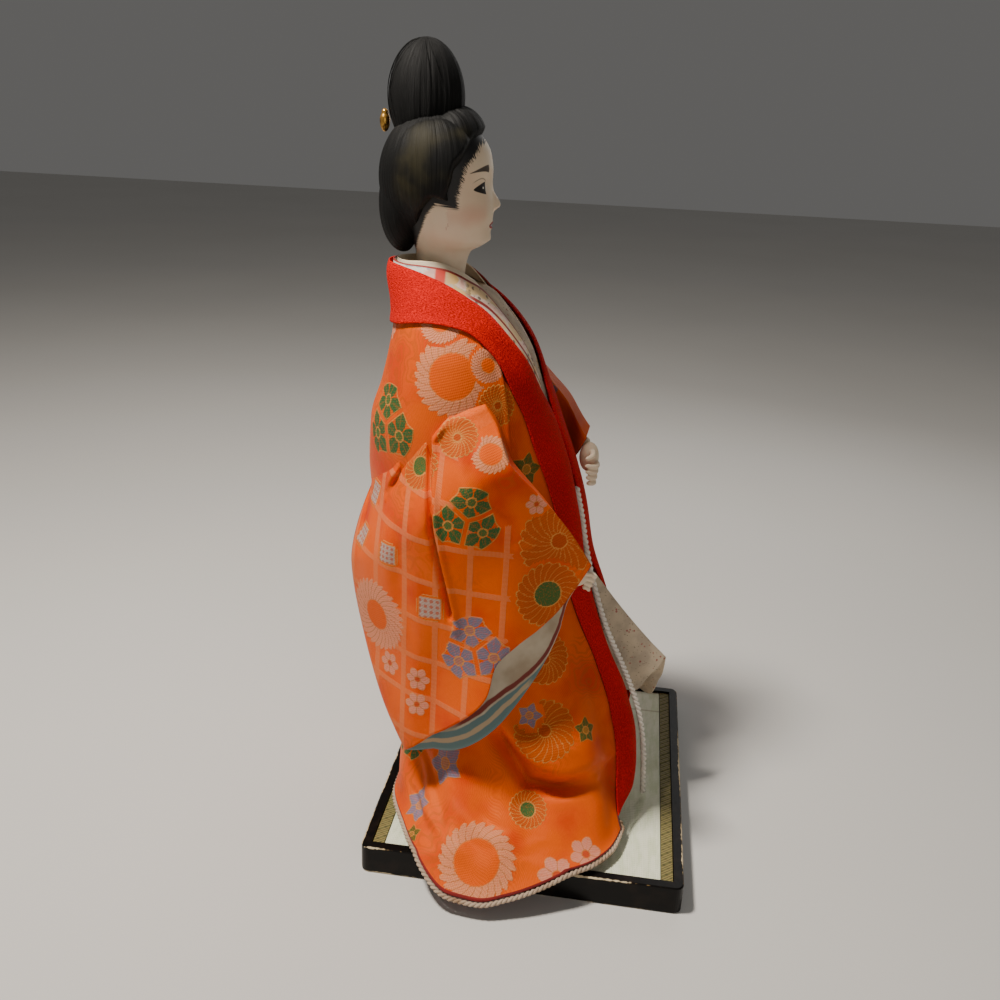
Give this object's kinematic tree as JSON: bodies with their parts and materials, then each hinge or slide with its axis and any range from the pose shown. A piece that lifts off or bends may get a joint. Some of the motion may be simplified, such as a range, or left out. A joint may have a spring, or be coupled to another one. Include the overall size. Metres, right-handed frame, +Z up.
{
  "type": "kimono doll on a stand",
  "caption": "Standing kimono doll with a high topknot, hanging brocade sleeves and a trailing hem, fixed on a low lacquered stand.",
  "frame": {"origin": "middle of the stand's underside", "axes": "+Z up; the doll faces -Y, so its right hand is towards -X"},
  "size_m": [0.1656, 0.1442, 0.3152],
  "materials": {
    "lacquer": "black lacquer, worn to pale gold at the edges",
    "mat": "pale green woven mat, matt",
    "border": "olive and gold figured strip",
    "kimono": "beige-grey crepe with small specks",
    "printed": "printed crepe in pale blue, white, pink and gold",
    "white": "white crepe with a thin dark red line",
    "brocade": "orange satin brocade with woven flowers and lattice",
    "crepe": "red crepe, pebbled",
    "cord": "off-white twisted cord",
    "skin": "ivory shell-white coating, matt",
    "hair": "black silk hair, combed, low sheen",
    "gilt": "worn gilt"
  },
  "bodies": {
    "root": {"stand_plinth": "lacquer", "stand_mat": "mat", "mat_border_front": "border", "mat_border_back": "border", "kimono_body": "kimono", "kimono_front_panel": "kimono", "inner_collar": "printed", "under_collar": "white", "robe_body": "brocade", "robe_lapel": "crepe", "robe_right_sleeve": "brocade", "robe_left_sleeve": "brocade", "hem_cord": "cord", "front_cord": "cord", "head": "skin", "hair": "hair", "topknot": "hair", "hairpin_bead": "gilt", "left_hand": "skin", "right_hand": "skin"}
  },
  "joints": []
}
